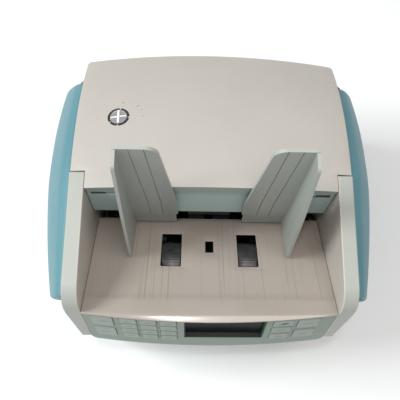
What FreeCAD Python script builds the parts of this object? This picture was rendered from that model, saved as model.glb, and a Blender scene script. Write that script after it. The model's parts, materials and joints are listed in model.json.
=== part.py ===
import FreeCAD, Part
import math
import os
from FreeCAD import Vector as V

os.makedirs("parts", exist_ok=True)

# A front-feeding desktop banknote counter.  Millimetres, +Z up, front towards -Y.
# The origin is at the bottom centre of the whole machine.  The upper works are
# dimensioned from the feed lip, the straight front edge of the feed plate.
LIP_Y = -107.1
LIP_Z = 190.0
WALL = 2.5                    # moulded wall thickness

# Hopper and cheeks
HOPPER_HALF = 102.0           # inner half-width between the cheeks
CHEEK_OUT = 114.0
CHEEK_TOP = 21.0
CHEEK_REAR = 109.2
PARTING = -43.0               # level of the joint between the lower case and the cover
CASE_REAR = 236.5
CASE_REAR_CORNER = 230.0
HOUSING_TOP = -52.0
HINGE_SHELF = (225.0, 220.0)  # inner edge of the shelf under the hinge: centre, corner
BASE_TOP = 12.0 - LIP_Z       # top of the base rim
FLOOR_TOP = 7.0 - LIP_Z       # top of the base floor
BASE_HALF = 113.6
BASE_FRONT = -14.0
BASE_REAR = 228.0

# Feed plate
PLATE_END = (90.7, -61.6)
PLATE_FOLD = (12.4, -8.0)
PLATE_THICK = 2.0
LIP_THICK = 1.2
LIP_BOW = 6.5                 # how far the lip bows forward at its centre
PLATE_SLOPE = math.atan2(-PLATE_END[1], PLATE_END[0])
ROLLER_WINDOW_S = (49.3, 88.8)
ROLLER_WINDOW_X = (24.6, 42.2)
SENSOR_WINDOW_S = (65.8, 80.0)
SENSOR_WINDOW_HALF = 3.6

# Side panels: half-width at the widest station, and how fast it falls off to both ends
SIDE_WIDEST = 146.3
SIDE_MIDDLE_Y = 128.0
SIDE_FRONT_CURVE = 1180.0
SIDE_REAR_CURVE = 2700.0
SIDE_WALL = 3.0
SIDE_TOP = 16.0               # top edge beside the hopper
SIDE_BELOW_COVER = 13.6       # drop from the cover's top to the panel's top edge beside it

# Control panel: leans back 15.6 degrees and is bowed like the lip
PANEL_LEAN = math.radians(15.6)
PANEL_BOTTOM = -62.0
PANEL_HALF = 101.6
DISPLAY_X = (-20.7, 45.5)
DISPLAY_Z = (-3.5, -43.0)
DISPLAY_RECESS = 5.0
PANEL_CORNER = 6.0
KEY_PROUD = 0.8
KEY_GAP = 0.35
BOARD_N = -6.4                # front face of the key board, from the panel's chord plane

# Rear cover
COVER_RADIUS = 235.0
COVER_FRONT = 95.4
COVER_TOP = 28.6
COVER_HALF = 101.5            # beside the cheeks
SHOULDER_HALF = 113.6         # behind the cheeks
SHOULDER_Y = 110.0
CROWN_RADIUS = 720.0
COVER_CORNER = 4.0
HINGE_Y = 227.5
HINGE_Z = -43.5
HINGE_PIN_R = 2.0

# Banknote guides
GUIDE_X = 68.0
GUIDE_THICK = 2.5
GUIDE_INNER = 27.8
GUIDE_TOP = 101.5
GUIDE_STEP = -29.3            # lower edge of the back plate, above its set-back foot
SLOT_Z = 7.0
SLOT_X = (30.0, 98.0)
PINION_Y = 112.0
PINION_TEETH = 12
TOOTH_MODULE = 1.0
PINION_R = PINION_TEETH * TOOTH_MODULE / 2

# Shafts: (y, z) from the lip, in the chassis plates
SHAFT_R = 4.0
PICKUP = (45.3, -54.3)
FEED = (90.8, -83.4)
TRANSPORT = (126.0, -108.0)
STACKER = (46.0, -125.0)
MOTOR = (178.0, -128.0)
PICKUP_R = 21.0
FEED_R = 18.0
TRANSPORT_R = 14.0
STACKER_R = 34.0
ROLLER_X = 33.4
RETARD = (110.2, -55.0)
RETARD_R = 16.0
RETARD_PIVOT = (154.0, -34.0)
RETARD_PIVOT_R = 2.5
CHASSIS_X = (97.0, 99.0)

# Adjusting knob on the cover
KNOB_X = -78.0
KNOB_Y = 159.0
KNOB_R = 7.3


def at(y, z, x=0.0):
    """Point from distances behind and above the feed lip."""
    return V(x, LIP_Y + y, LIP_Z + z)


def box(x_span, y_span, z_span):
    low = at(min(y_span), min(z_span), min(x_span))
    size = [abs(span[1] - span[0]) for span in (x_span, y_span, z_span)]
    return Part.makeBox(size[0], size[1], size[2], low)


def rounded_wire(points, radii):
    """Closed wire through the points, each corner rounded by its radius."""
    arcs = []
    for i, corner in enumerate(points):
        before = (points[i - 1] - corner).normalize()
        after = (points[(i + 1) % len(points)] - corner).normalize()
        half = before.getAngle(after) / 2
        cut = radii[i] / math.tan(half)
        middle = (before + after).normalize() * (radii[i] / math.sin(half) - radii[i])
        arcs.append((corner + before * cut, corner + middle, corner + after * cut))
    edges = []
    for i, (start, middle, end) in enumerate(arcs):
        if radii[i] > 0:
            edges.append(Part.Arc(start, middle, end).toShape())
        following = arcs[(i + 1) % len(arcs)][0]
        if end.distanceToPoint(following) > 1e-6:
            edges.append(Part.LineSegment(end, following).toShape())
    return Part.Wire(edges)


def side_prism(corners, x_span):
    """Solid of a side outline; corners are (y, z) or (y, z, radius)."""
    points = [at(c[0], c[1], x_span[0]) for c in corners]
    radii = [c[2] if len(c) > 2 else 0.0 for c in corners]
    return Part.Face(rounded_wire(points, radii)).extrude(V(x_span[1] - x_span[0], 0, 0))


def front_prism(corners, y_span):
    """Solid of a front outline; corners are (x, z) or (x, z, radius)."""
    points = [at(y_span[0], c[1], c[0]) for c in corners]
    radii = [c[2] if len(c) > 2 else 0.0 for c in corners]
    return Part.Face(rounded_wire(points, radii)).extrude(V(0, y_span[1] - y_span[0], 0))


def cylinder_x(centre, radius, x_span):
    length = x_span[1] - x_span[0]
    return Part.makeCylinder(radius, length, at(centre[0], centre[1], x_span[0]), V(1, 0, 0))


def mirrored(shape):
    return shape.mirror(V(0, 0, 0), V(1, 0, 0))


def fuse(shapes):
    return shapes[0].multiFuse(shapes[1:]).removeSplitter()


def cut(shape, tools):
    for tool in tools:
        shape = shape.cut(tool)
    return shape


def save(name, shape):
    shape.exportStep("parts/" + name + ".step")


def save_pair(name, left):
    save(name + "_left", left)
    save(name + "_right", mirrored(left))


def bow(x, half, depth):
    """How far a shallow arc of this depth and half-width stands out at x."""
    return depth * (1 - (x / half) ** 2)


# ---------------------------------------------------------------- lower case

def base_tray():
    floor_z = 4.0 - LIP_Z
    points = [at(y, floor_z, -BASE_HALF) for y in (BASE_FRONT, BASE_REAR)]
    points += [at(y, floor_z, BASE_HALF) for y in (BASE_REAR, BASE_FRONT)]
    tray = Part.Face(rounded_wire(points, [8.0] * 4)).extrude(V(0, 0, BASE_TOP - floor_z))
    inner_half = BASE_HALF - WALL
    inside = box((-inner_half, inner_half), (BASE_FRONT + WALL, BASE_REAR - WALL), (FLOOR_TOP, BASE_TOP + 1))
    bosses = [
        Part.makeCylinder(4.5, 8, at(y, floor_z, x), V(0, 0, 1))
        for x in (-104, 104)
        for y in (40, 180)
    ]
    return fuse([tray.cut(inside)] + bosses)


def rubber_feet():
    feet = []
    for x in (-92, 92):
        for y in (2, 205):
            foot = Part.makeCylinder(9.0, 4.0, at(y, -LIP_Z, x), V(0, 0, 1))
            feet.append(foot.makeFillet(1.2, [foot.Edges[2]]))
    return Part.makeCompound(feet)


def cheek_left():
    """Side wall of the case: hopper cheek, panel border and stacker bay wall."""
    lean = math.tan(PANEL_LEAN)
    outline = [
        (CHEEK_REAR, CHEEK_TOP, 1.5),
        (lean * CHEEK_TOP, CHEEK_TOP, 20.0),
        (-lean * 56, -56.0, 9.0),
        (-11.0, BASE_TOP + 0.3),
        (226.0, BASE_TOP + 0.3),
        (226.0, PARTING),
        (CHEEK_REAR, PARTING, 1.5),
    ]
    wall = side_prism(outline, (-CHEEK_OUT, -HOPPER_HALF))
    pocket_outline = [
        (CHEEK_REAR - 4, 13.0),
        (22.0, 13.0, 8.0),
        (-7.0, -58.0, 8.0),
        (-6.0, BASE_TOP + 4),
        (222.0, BASE_TOP + 4),
        (222.0, PARTING - 4),
        (CHEEK_REAR - 4, PARTING - 4),
    ]
    pocket = side_prism(pocket_outline, (-CHEEK_OUT - 1, -HOPPER_HALF - WALL))
    taper_outline = [(-114.4, 2.0), (-109.5, -60.0), (-107.0, -82.0)]
    taper_outline += [(-107.0, -180.0), (-117.0, -180.0), (-117.0, 2.0)]
    taper = front_prism(taper_outline, (-40.0, 8.0))
    return cut(wall, [pocket, taper])


def cover_level(y):
    """Height of the cover's top, without its crown, at a distance behind the lip."""
    return COVER_TOP - COVER_RADIUS + math.sqrt(COVER_RADIUS ** 2 - (y - COVER_FRONT) ** 2)


def side_reach(y):
    """Half-width of the machine over the bulging side panels at one station."""
    curve = SIDE_FRONT_CURVE if y < SIDE_MIDDLE_Y else SIDE_REAR_CURVE
    return SIDE_WIDEST - (y - SIDE_MIDDLE_Y) ** 2 / curve


def side_section(y, inset):
    """Closed section of the bulging side panel at one station."""
    top = SIDE_TOP
    if y > SHOULDER_Y:
        top = cover_level(y) - SIDE_BELOW_COVER
    widest = side_reach(y)
    top -= inset
    low = BASE_TOP + 1.0 + inset
    reach = [(0.0, 0.0), (0.36, -8.0), (0.84, -38.0), (1.0, -78.0)]
    start = CHEEK_OUT + 0.4
    outer = [(start + share * (widest - inset - start), top + drop) for share, drop in reach]
    last = outer[-1][1]
    outer.append((widest - inset - 3.0, (last + low) / 2))
    outer.append((widest - inset - 14.0, low))
    curve = Part.BSplineCurve()
    curve.interpolate([at(y, z, -x) for x, z in outer])
    inner_x = start - 3 * inset
    corners = [at(y, low, -outer[-1][0]), at(y, low, -inner_x), at(y, top, -inner_x), at(y, top, -start)]
    edges = [curve.toShape()]
    for first, second in zip(corners, corners[1:]):
        if first.distanceToPoint(second) > 1e-6:
            edges.append(Part.LineSegment(first, second).toShape())
    return Part.Wire(edges)


def side_outline(inset):
    """Side view of the panel: a front edge nearly upright and a rear edge that slants back."""
    corners = [
        (9.0 + inset, 30.0),
        (14.5 + inset, -66.0, 60.0),
        (17.0 + inset, -190.0),
        (229.0 - inset, -190.0),
        (228.5 - inset, -105.0, 50.0),
        (191.5 - inset, 30.0),
    ]
    return side_prism(corners, (-160.0, -90.0))


def side_panel_left():
    stations = [5.0, 40.0, 75.0, 109.0, 150.0, 190.0, 231.0]
    shells = []
    for inset in (0.0, SIDE_WALL):
        loft = Part.makeLoft([side_section(y, inset) for y in stations], True)
        shells.append(loft.common(side_outline(inset)))
    return shells[0].cut(shells[1])


def chassis_left():
    outline = [
        (14.0, -22.0, 3.0),
        (86.0, -71.0, 3.0),
        (106.0, -84.0, 3.0),
        (150.0, -62.0, 3.0),
        (214.0, -62.0, 3.0),
        (214.0, FLOOR_TOP, 0.0),
        (32.0, FLOOR_TOP, 0.0),
        (32.0, -64.2, 3.0),
        (14.0, -64.2, 3.0),
    ]
    plate = side_prism(outline, (-CHASSIS_X[1], -CHASSIS_X[0]))
    foot = box((-CHASSIS_X[1], -82), (66, 198), (FLOOR_TOP, FLOOR_TOP + 2))
    holes = [cylinder_x(centre, 7.0, (-120, -80)) for centre in (PICKUP, FEED, TRANSPORT, STACKER)]
    window = side_prism([(150, -80, 8), (200, -80, 8), (200, -160, 8), (150, -160, 8)], (-120, -90))
    return cut(fuse([plate, foot]), holes + [window])


def shaft_bearings():
    bushes = []
    for y, z in (PICKUP, FEED, TRANSPORT, STACKER):
        sleeve = cylinder_x((y, z), 7.0, (-CHASSIS_X[1], -CHASSIS_X[0]))
        flange = cylinder_x((y, z), 9.0, (-CHASSIS_X[1] - 1.5, -CHASSIS_X[1]))
        bush = fuse([sleeve, flange]).cut(cylinder_x((y, z), SHAFT_R + 0.05, (-110, -90)))
        bushes += [bush, mirrored(bush)]
    return Part.makeCompound(bushes)


def rear_plan(half, centre, corner, front, z_span, corner_radius):
    """Block with a bowed rear face and rounded rear corners."""
    low = [at(front, z_span[0], -half), at(corner, z_span[0], -half)]
    low += [at(corner, z_span[0], half), at(front, z_span[0], half)]
    sag = centre - corner
    radius = (half ** 2 + sag ** 2) / (2 * sag)
    beyond = V(0, 2 * sag, 0)
    plan = Part.makePolygon([low[0], low[1] + beyond, low[2] + beyond, low[3], low[0]])
    slab = Part.Face(plan).extrude(V(0, 0, z_span[1] - z_span[0]))
    disc = Part.makeCylinder(radius, z_span[1] - z_span[0], at(centre - radius, z_span[0]), V(0, 0, 1))
    block = slab.common(disc)
    edges = [e for e in block.Edges if is_rear_upright(e, half, front)]
    return block.makeFillet(corner_radius, edges)


def is_rear_upright(edge, half, front):
    middle = edge.CenterOfMass
    box_size = edge.BoundBox
    upright = box_size.XLength < 0.01 and box_size.YLength < 0.01
    return upright and abs(abs(middle.x) - half) < 0.01 and middle.y > LIP_Y + front + 1


def rear_housing():
    low = BASE_TOP + 0.3
    centre, corner = CASE_REAR - WALL, CASE_REAR_CORNER - WALL
    outer = rear_plan(SHOULDER_HALF, CASE_REAR, CASE_REAR_CORNER, 226.4, (low, HOUSING_TOP), COVER_CORNER)
    inner = rear_plan(SHOULDER_HALF - WALL, centre, corner, 220.0, (low - 1, -50.0), 1.0)
    centre, corner = HINGE_SHELF
    lip_band = rear_plan(SHOULDER_HALF - 5, centre + 2, corner + 2, 217.0, (-56.0, -44.2), 2.0)
    lip_space = rear_plan(SHOULDER_HALF - 7, centre, corner, 210.0, (-57.0, -43.0), 1.0)
    shelf = rear_plan(SHOULDER_HALF - 1, CASE_REAR - 1, CASE_REAR_CORNER - 1, 217.0, (-56.0, -53.0), 2.0)
    shelf_space = rear_plan(SHOULDER_HALF - 7, centre, corner, 210.0, (-57.0, -52.0), 1.0)
    wall = fuse([outer.cut(inner), shelf.cut(shelf_space), lip_band.cut(lip_space)])
    beside_cheeks = [box((x, x + 14), (205, 226.3), (-60, -40)) for x in (-115.7, 101.7)]
    ear_notches = [box((x, x + 5), (221.5, 234), (-48, -40)) for x in (-59.5, 54.5)]
    vents = [box((x, x + 3), (226, 240), (-150, -110)) for x in range(-60, 0, 7)]
    inlet = box((40.0, 68.0), (220, 240), (-162, -142))
    switch = box((76.0, 90.0), (220, 240), (-162, -142))
    ears = []
    for x in (-54.0, 50.0):
        knuckle = cylinder_x((HINGE_Y, HINGE_Z), 3.4, (x, x + 4))
        web = side_prism([(220, -54), (220, -46), (HINGE_Y - 1, -40.2), (HINGE_Y - 0.5, -54)], (x, x + 4))
        ears += [knuckle, web]
    pin_holes = cylinder_x((HINGE_Y, HINGE_Z), HINGE_PIN_R, (-70, 70))
    return cut(fuse([cut(wall, beside_cheeks + ear_notches)] + ears), vents + [inlet, switch, pin_holes])


def hinge_pins():
    left = cylinder_x((HINGE_Y, HINGE_Z), HINGE_PIN_R, (-60.0, -50.0))
    return Part.makeCompound([left, mirrored(left)])


def power_inlet():
    body = box((40.2, 67.8), (212, 230.5), (-161.8, -142.2))
    flange = front_prism([(37, -165, 2), (71, -165, 2), (71, -139, 2), (37, -139, 2)], (236.2, 238.0))
    neck = box((40.2, 67.8), (230, 236.2), (-161.8, -142.2))
    mouth = [(43.0, -160.0, 2), (65.0, -160.0, 2), (65.0, -149.0, 5)]
    mouth += [(60.0, -144.5, 2), (48.0, -144.5, 2), (43.0, -149.0, 5)]
    recess = front_prism(mouth, (216.0, 239.0))
    blades = [box((x - 1, x + 1), (214, 230), (-156, -150)) for x in (47.5, 54.0, 60.5)]
    return fuse([fuse([body, flange, neck]).cut(recess)] + blades)


def power_switch():
    rocker = [(235.6, -160.8), (237.2, -156.0), (235.4, -152.0), (237.2, -148.0)]
    rocker += [(235.6, -143.2), (226.0, -146.0), (226.0, -158.0)]
    pivot = cylinder_x((230.5, -152.0), 2.0, (76.15, 89.85))
    return fuse([side_prism(rocker, (76.6, 89.4)), pivot])


def stacker_wall():
    wall = box((-101.6, 101.6), (22.0, 24.5), (-64.5, BASE_TOP + 14))
    ceiling = box((-101.6, 101.6), (-12.0, 24.5), (-67.0, -64.5))
    slots = []
    for x in (-38, 38):
        slots.append(box((x - 5.5, x + 5.5), (20, 30), (STACKER[1] + 33, STACKER[1] - 36)))
    return cut(fuse([wall, ceiling]), slots)


def stacker_tray():
    """Floor of the bay where the counted notes stand, with a finger notch."""
    top = 25.0 - LIP_Z
    plate = box((-101.6, 101.6), (-13.5, 21.8), (top - 2.5, top))
    front = box((-101.6, 101.6), (-13.5, -11.0), (BASE_TOP + 0.3, top))
    notch = Part.makeCylinder(24, 40, at(-21, BASE_TOP + 5), V(0, 0, 1))
    return cut(fuse([plate, front]), [notch])


# ------------------------------------------------------------- feed and panel

def plate_point(s, depth):
    """Point on the feed plate's slope, s along it and depth under its surface."""
    return (s * math.cos(PLATE_SLOPE) - depth * math.sin(PLATE_SLOPE),
            -s * math.sin(PLATE_SLOPE) - depth * math.cos(PLATE_SLOPE))


def plate_hole(x_span, s_span):
    corners = [plate_point(s, depth) for s, depth in
               ((s_span[0], -4), (s_span[1], -4), (s_span[1], 12), (s_span[0], 12))]
    return side_prism(corners, x_span)


def lip_arc(offset, z):
    """The bowed front edge, moved back by an offset."""
    ends = [at(offset, z, -PANEL_HALF), at(offset, z, PANEL_HALF)]
    return Part.Arc(ends[0], at(offset - LIP_BOW, z), ends[1]).toShape()


def feed_plate():
    half = PANEL_HALF
    outline = [(0.0, 0.0), PLATE_FOLD, PLATE_END]
    outline += [(PLATE_END[0] - 1.1, PLATE_END[1] - 1.7)]
    outline += [(PLATE_FOLD[0] - 0.9, PLATE_FOLD[1] - PLATE_THICK), (0.0, -LIP_THICK)]
    plate = side_prism(outline, (-half, half))
    chord = Part.LineSegment(at(0, -LIP_THICK, half), at(0, -LIP_THICK, -half)).toShape()
    lip = Part.Face(Part.Wire([lip_arc(0.0, -LIP_THICK), chord])).extrude(V(0, 0, LIP_THICK))
    flange_outline = [(14, -11), (84, -58.5), (84, -68), (14, -20)]
    flanges = [side_prism(flange_outline, span) for span in ((-half, -half + 1.5), (half - 1.5, half))]
    holes = [plate_hole((-SENSOR_WINDOW_HALF, SENSOR_WINDOW_HALF), SENSOR_WINDOW_S)]
    for span in (ROLLER_WINDOW_X, (-ROLLER_WINDOW_X[1], -ROLLER_WINDOW_X[0])):
        holes.append(plate_hole(span, ROLLER_WINDOW_S))
    return cut(fuse([plate, lip] + flanges), holes)


def panel_depth(x):
    """Height of the bowed panel surface above its chord plane."""
    return bow(x, HOPPER_HALF, LIP_BOW) * math.cos(PANEL_LEAN)


def panel_yaw(x):
    """Angle in degrees by which the panel surface turns outwards at x."""
    return math.degrees(math.atan(2 * LIP_BOW * math.cos(PANEL_LEAN) * x / HOPPER_HALF ** 2))


def panel_placement(x, z, level, turned=True):
    """Placement whose +Z is the panel's outward normal at (x, z)."""
    up = V(0, math.sin(PANEL_LEAN), math.cos(PANEL_LEAN))
    out = V(0, -math.cos(PANEL_LEAN), math.sin(PANEL_LEAN))
    lean = FreeCAD.Rotation(V(1, 0, 0), up, out, "ZXY")
    base = at(0, 0, x) + up * (z / math.cos(PANEL_LEAN)) + out * level
    turn = FreeCAD.Rotation(V(0, 1, 0), panel_yaw(x) if turned else 0.0)
    return FreeCAD.Placement(base, lean * turn)


def pad(width, height, low, high, radius):
    """Rounded rectangular block about its own Z axis."""
    points = [V(-width / 2, -height / 2, low), V(width / 2, -height / 2, low)]
    points += [V(width / 2, height / 2, low), V(-width / 2, height / 2, low)]
    return Part.Face(rounded_wire(points, [radius] * 4)).extrude(V(0, 0, high - low))


def placed(shape, placement):
    moved = shape.copy()
    moved.Placement = placement
    return moved


# Key name: centre x, centre z, width, height
KEYS = {}
for row, z in enumerate((-12.5, -37.8)):
    KEYS["key_left_%d" % (row + 1)] = (-86.3, z, 17.4, 19.0)
    KEYS["key_right_%d" % (row + 1)] = (79.8, z, 17.4, 19.0)
for row, z in enumerate((-7.8, -19.4, -31.0, -42.6)):
    for column, x in enumerate((-65.5, -49.5, -33.5)):
        KEYS["key_number_%d" % (3 * row + column + 1)] = (x, z, 13.4, 9.2)
for row, z in enumerate((-9.4, -25.2, -41.0)):
    KEYS["key_function_%d" % (row + 1)] = (59.2, z, 16.2, 12.4)


def panel_slab():
    """Bowed sheet that leans back, as a slice of a large cylinder's wall."""
    rise = panel_depth(0)
    radius = (HOPPER_HALF ** 2 + rise ** 2) / (2 * rise)
    foot = V(0, -90, rise - radius)
    outer, inner = [Part.makeCylinder(r, 120, foot, V(0, 1, 0)) for r in (radius, radius - WALL)]
    slice_box = Part.makeBox(2 * HOPPER_HALF, 120, 30, V(-HOPPER_HALF, -90, -12))
    return placed(outer.cut(inner).common(slice_box), panel_placement(0, 0, 0, False))


def control_panel():
    middle_x = sum(DISPLAY_X) / 2
    middle_z = sum(DISPLAY_Z) / 2
    width = DISPLAY_X[1] - DISPLAY_X[0]
    height = (DISPLAY_Z[0] - DISPLAY_Z[1]) / math.cos(PANEL_LEAN)
    seat = panel_placement(middle_x, middle_z, panel_depth(middle_x), False)
    frame = placed(pad(width + 3.6, height + 3.0, -DISPLAY_RECESS - 3.0, -1.6, 2.5), seat)
    opening = placed(pad(width, height, -12.0, 12.0, 1.5), seat)
    key_holes = []
    for x, z, key_width, key_height in KEYS.values():
        tool = pad(key_width + 2 * KEY_GAP, key_height + 2 * KEY_GAP, -7.0, 6.0, 1.6)
        key_holes.append(placed(tool, panel_placement(x, z, panel_depth(x))))
    slab = cut(panel_slab(), key_holes)
    front = [
        (-PANEL_HALF, PANEL_BOTTOM, PANEL_CORNER),
        (PANEL_HALF, PANEL_BOTTOM, PANEL_CORNER),
        (PANEL_HALF, -LIP_THICK),
        (-PANEL_HALF, -LIP_THICK),
    ]
    under_plate = side_prism([(-0.5, -LIP_THICK), (8.0, -7.8), (8.0, 0.0), (-0.5, 0.0)], (-110, 110))
    return cut(fuse([slab, frame]).common(front_prism(front, (-60, 40))), [opening, under_plate])


def display_window():
    middle_x = sum(DISPLAY_X) / 2
    middle_z = sum(DISPLAY_Z) / 2
    width = DISPLAY_X[1] - DISPLAY_X[0] - 0.2
    height = (DISPLAY_Z[0] - DISPLAY_Z[1]) / math.cos(PANEL_LEAN) - 0.2
    seat = panel_placement(middle_x, middle_z, panel_depth(middle_x), False)
    return placed(pad(width, height, -DISPLAY_RECESS - 1.5, -DISPLAY_RECESS, 1.4), seat)


def key_cap(x, z, width, height):
    """Key cap with a retaining flange and a plunger that reaches the key board."""
    level = panel_depth(x)
    cap = pad(width, height, -4.0, KEY_PROUD, 1.25)
    rim = [e for e in cap.Edges if e.BoundBox.ZLength < 0.01 and e.BoundBox.ZMin > 0]
    cap = cap.makeFillet(0.5, rim)
    flange = pad(width + 1.4, height + 1.4, -4.2, -3.2, 1.6)
    reach = level - (BOARD_N + 1.4)
    plunger = Part.makeCylinder(1.5, reach - 4.0, V(0, 0, -reach), V(0, 0, 1))
    return placed(fuse([cap, flange, plunger]), panel_placement(x, z, level))


def keypad_board():
    seat = panel_placement(0, -36.0, 0.0, False)
    board = placed(pad(196.0, 46.0, BOARD_N - 1.6, BOARD_N, 2.0), seat)
    module_x = sum(DISPLAY_X) / 2
    module = placed(pad(60.0, 32.0, BOARD_N, -1.0, 1.0), panel_placement(module_x, -26.0, 0.0, False))
    return fuse([board, module])


# ------------------------------------------------------------------ shafts

def shaft(centre, x_span, steps):
    """Steel shaft with raised pulleys or collars: (radius, x from, x to)."""
    pieces = [cylinder_x(centre, SHAFT_R, x_span)]
    pieces += [cylinder_x(centre, radius, (low, high)) for radius, low, high in steps]
    return fuse(pieces)


def roller_set(centre, radius, bore, spans):
    rings = []
    for low, high in spans:
        ring = cylinder_x(centre, radius, (low, high)).cut(cylinder_x(centre, bore, (low - 1, high + 1)))
        rings.append(ring)
        rings.append(mirrored(ring))
    return Part.makeCompound(rings)


# Belt: pulley centres, pulley radii and the span across X where it runs
BELT_WIDTH = 5.0
BELTS = {
    "pickup": (PICKUP, 8.0, FEED, 8.0, 90.5),
    "stacker": (FEED, 8.0, STACKER, 14.0, 84.0),
    "feed": (FEED, 10.0, TRANSPORT, 8.0, 77.5),
    "motor": (TRANSPORT, 14.0, MOTOR, 7.0, 71.0),
}
SHAFT_SPAN = (-101.0, 101.0)


def pulley_steps(centre):
    """Flanged pulley steps of every belt that runs on this shaft."""
    steps = []
    for first, first_r, second, second_r, x in BELTS.values():
        for belt_centre, radius in ((first, first_r), (second, second_r)):
            if belt_centre == centre:
                steps.append((radius, x - BELT_WIDTH / 2 - 0.3, x + BELT_WIDTH / 2 + 0.3))
    return steps


def belt_loop(first, first_r, second, second_r, x, offset, width):
    """Stadium-shaped solid round two pulleys of different radii."""
    a = at(first[0], first[1], x - width / 2)
    b = at(second[0], second[1], x - width / 2)
    ra = first_r + offset
    rb = second_r + offset
    line = b - a
    distance = line.Length
    direction = math.atan2(line.z, line.y)
    swing = math.acos((ra - rb) / distance)

    def rim(centre, radius, angle):
        return centre + V(0, math.cos(angle), math.sin(angle)) * radius

    upper = direction + swing
    lower = direction - swing
    edges = [
        Part.LineSegment(rim(a, ra, upper), rim(b, rb, upper)).toShape(),
        Part.Arc(rim(b, rb, upper), rim(b, rb, direction), rim(b, rb, lower)).toShape(),
        Part.LineSegment(rim(b, rb, lower), rim(a, ra, lower)).toShape(),
        Part.Arc(rim(a, ra, lower), rim(a, ra, direction + math.pi), rim(a, ra, upper)).toShape(),
    ]
    return Part.Face(Part.Wire(edges)).extrude(V(width, 0, 0))


def drive_belts():
    belts = []
    for belt in BELTS.values():
        outer = belt_loop(*belt, 1.6, BELT_WIDTH)
        inner = belt_loop(*belt, 0.35, BELT_WIDTH + 4)
        belts.append(outer.cut(inner))
    return Part.makeCompound(belts)


def stacker_wheels():
    """Two hubs with curved fingers that lay each note on the stack."""
    wheels = []
    for x in (-41.0, 35.0):
        pieces = [cylinder_x(STACKER, 11.0, (x, x + 6))]
        for index in range(12):
            turn = math.radians(30 * index)

            def point(radius, angle):
                along, up = math.cos(turn + angle), math.sin(turn + angle)
                return at(STACKER[0] + radius * along, STACKER[1] + radius * up, x)

            inner_arc = Part.Arc(point(10.0, 0.0), point(22.0, 0.42), point(STACKER_R, 1.15))
            outer_arc = Part.Arc(point(STACKER_R, 1.19), point(22.6, 0.50), point(10.0, 0.18))
            edges = [
                inner_arc.toShape(),
                Part.LineSegment(point(STACKER_R, 1.15), point(STACKER_R, 1.19)).toShape(),
                outer_arc.toShape(),
                Part.LineSegment(point(10.0, 0.18), point(10.0, 0.0)).toShape(),
            ]
            pieces.append(Part.Face(Part.Wire(edges)).extrude(V(6, 0, 0)))
        wheels.append(fuse(pieces).cut(cylinder_x(STACKER, SHAFT_R, (x - 1, x + 7))))
    return Part.makeCompound(wheels)


# --------------------------------------------------------------- electrics

def motor_body():
    can = cylinder_x(MOTOR, 24.0, (-8.0, 56.0))
    boss = cylinder_x(MOTOR, 9.0, (56.0, 60.0))
    cradle = box((0.0, 50.0), (MOTOR[0] - 20, MOTOR[0] + 20), (BASE_TOP - 5, MOTOR[1] - 18))
    return fuse([can, boss, cradle]).cut(cylinder_x(MOTOR, 3.05, (40, 61)))


def motor_pulley():
    return fuse([cylinder_x(MOTOR, 3.0, (44.0, 78.0)), cylinder_x(MOTOR, 7.0, (68.2, 73.8))])


def main_board():
    board = box((-74, 40), (60, 148), (BASE_TOP + 4, BASE_TOP + 5.6))
    pieces = [board]
    for x in (-60, -20):
        for y in (80, 115):
            pieces.append(box((x, x + 14), (y, y + 14), (BASE_TOP + 5.6, BASE_TOP + 8)))
    for x in (-68, 34):
        for y in (66, 142):
            pieces.append(Part.makeCylinder(3, 9, at(y, BASE_TOP - 5, x), V(0, 0, 1)))
    return fuse(pieces)


def power_supply():
    case = box((-78, -18), (158, 214), (BASE_TOP - 5, -140))
    slots = [box((x, x + 2), (165, 207), (-141, -139)) for x in range(-72, -24, 8)]
    return cut(case, slots)


def case_screws():
    screws = []
    for x in (-104, 104):
        for y in (40, 180):
            head = Part.makeCylinder(3.2, 2.0, at(y, 2.0 - LIP_Z, x), V(0, 0, 1))
            recess = Part.makeBox(4, 0.8, 1, at(y - 0.4, 1.8 - LIP_Z, x - 2))
            screws.append(head.cut(recess))
    return Part.makeCompound(screws)


# ------------------------------------------------------------------- cover

def cover_block(inset, low, corner_radius):
    """Solid with the cover's arched, crowned top and its notched plan, offset inwards by the inset."""
    radius = COVER_RADIUS - inset
    front = COVER_FRONT + inset
    beyond = CASE_REAR + 5.5

    def top(y):
        return at(y, COVER_TOP - COVER_RADIUS + math.sqrt(radius ** 2 - (y - COVER_FRONT) ** 2))

    arc = Part.Arc(top(front), top((front + beyond) / 2), top(beyond)).toShape()
    corners = [top(beyond), at(beyond, low), at(front, low), top(front)]
    lines = [Part.LineSegment(a, b).toShape() for a, b in zip(corners, corners[1:])]
    section = Part.Face(Part.Wire([arc] + lines))
    axis = at(0, COVER_TOP - CROWN_RADIUS)
    # the sweep has to clear the shoulders at the lower edge, which is nearest to the axis
    swing = math.degrees(math.asin((SHOULDER_HALF + 3) / (CROWN_RADIUS - COVER_TOP + low)))
    section.rotate(axis, V(0, 1, 0), -swing)
    arched = section.revolve(axis, V(0, 1, 0), 2 * swing)
    depth = (low, COVER_TOP + 1)
    centre, corner = CASE_REAR - inset, CASE_REAR_CORNER - inset
    wide = rear_plan(SHOULDER_HALF - inset, centre, corner, SHOULDER_Y + inset, depth, corner_radius)
    narrow = box((inset - COVER_HALF, COVER_HALF - inset), (front, SHOULDER_Y + inset + 1), depth)
    return arched.common(fuse([wide, narrow]))


KNOB_NORMAL = V(KNOB_X / CROWN_RADIUS, (KNOB_Y - COVER_FRONT) / COVER_RADIUS, 0.0)
KNOB_NORMAL.z = math.sqrt(1 - KNOB_NORMAL.x ** 2 - KNOB_NORMAL.y ** 2)
KNOB_CENTRE = at(KNOB_Y, cover_level(KNOB_Y) - KNOB_X ** 2 / (2 * CROWN_RADIUS), KNOB_X)


def knob_cylinder(radius, low, high):
    return Part.makeCylinder(radius, high - low, KNOB_CENTRE + KNOB_NORMAL * low, KNOB_NORMAL)


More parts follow.
